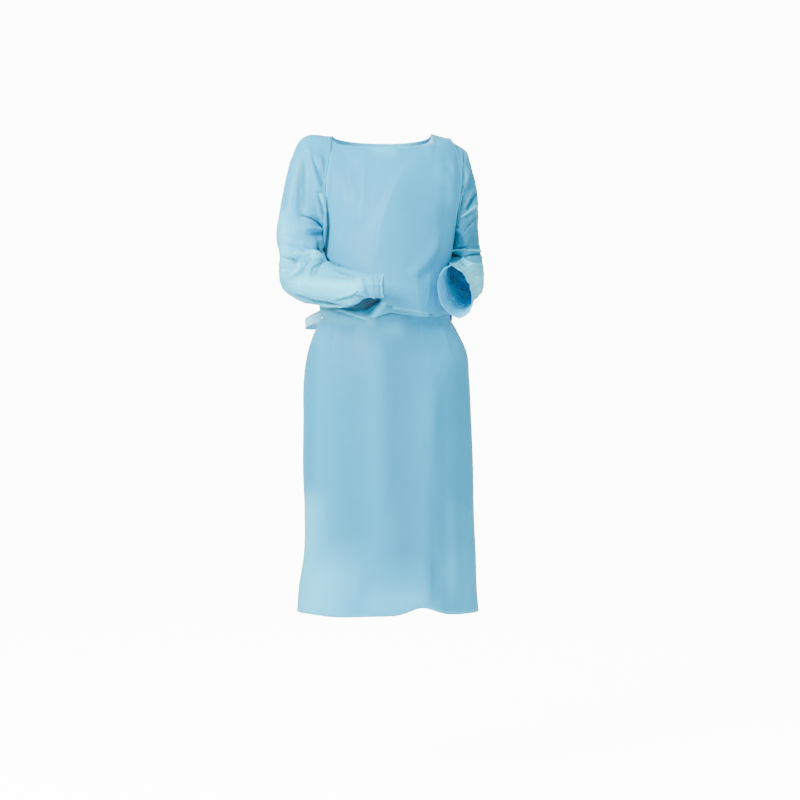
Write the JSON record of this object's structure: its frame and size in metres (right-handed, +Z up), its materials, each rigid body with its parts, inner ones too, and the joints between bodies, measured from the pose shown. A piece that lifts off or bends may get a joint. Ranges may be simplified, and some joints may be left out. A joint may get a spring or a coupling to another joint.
{
  "type": "open-back isolation gown",
  "caption": "Long-sleeved open-back protective gown of thin film, worn shape with nobody in it, tied behind the waist with strips.",
  "frame": {"origin": "where the wearer's shoulders hold the gown: on the shoulder line, above the middle of the neck", "axes": "+Z up, -Y to the gown's front, +X to the wearer's left"},
  "size_m": [0.4417, 0.3653, 1.0124],
  "materials": {
    "front_panel": "thin embossed film, soft sheen",
    "back_right": "thin embossed film, soft sheen",
    "back_left": "thin embossed film, soft sheen",
    "sleeve_right": "thin embossed film, soft sheen",
    "sleeve_left": "thin embossed film, soft sheen",
    "waist_tie_right": "thin film strip",
    "waist_tie_left": "thin film strip",
    "tie_knot": "thin film strip",
    "tie_end_right": "thin film strip",
    "tie_end_left": "thin film strip"
  },
  "bodies": {
    "root": {"front_panel": "front_panel", "back_right": "back_right", "back_left": "back_left", "sleeve_right": "sleeve_right", "sleeve_left": "sleeve_left", "waist_tie_right": "waist_tie_right", "waist_tie_left": "waist_tie_left", "tie_knot": "tie_knot", "tie_end_right": "tie_end_right", "tie_end_left": "tie_end_left"}
  },
  "joints": []
}
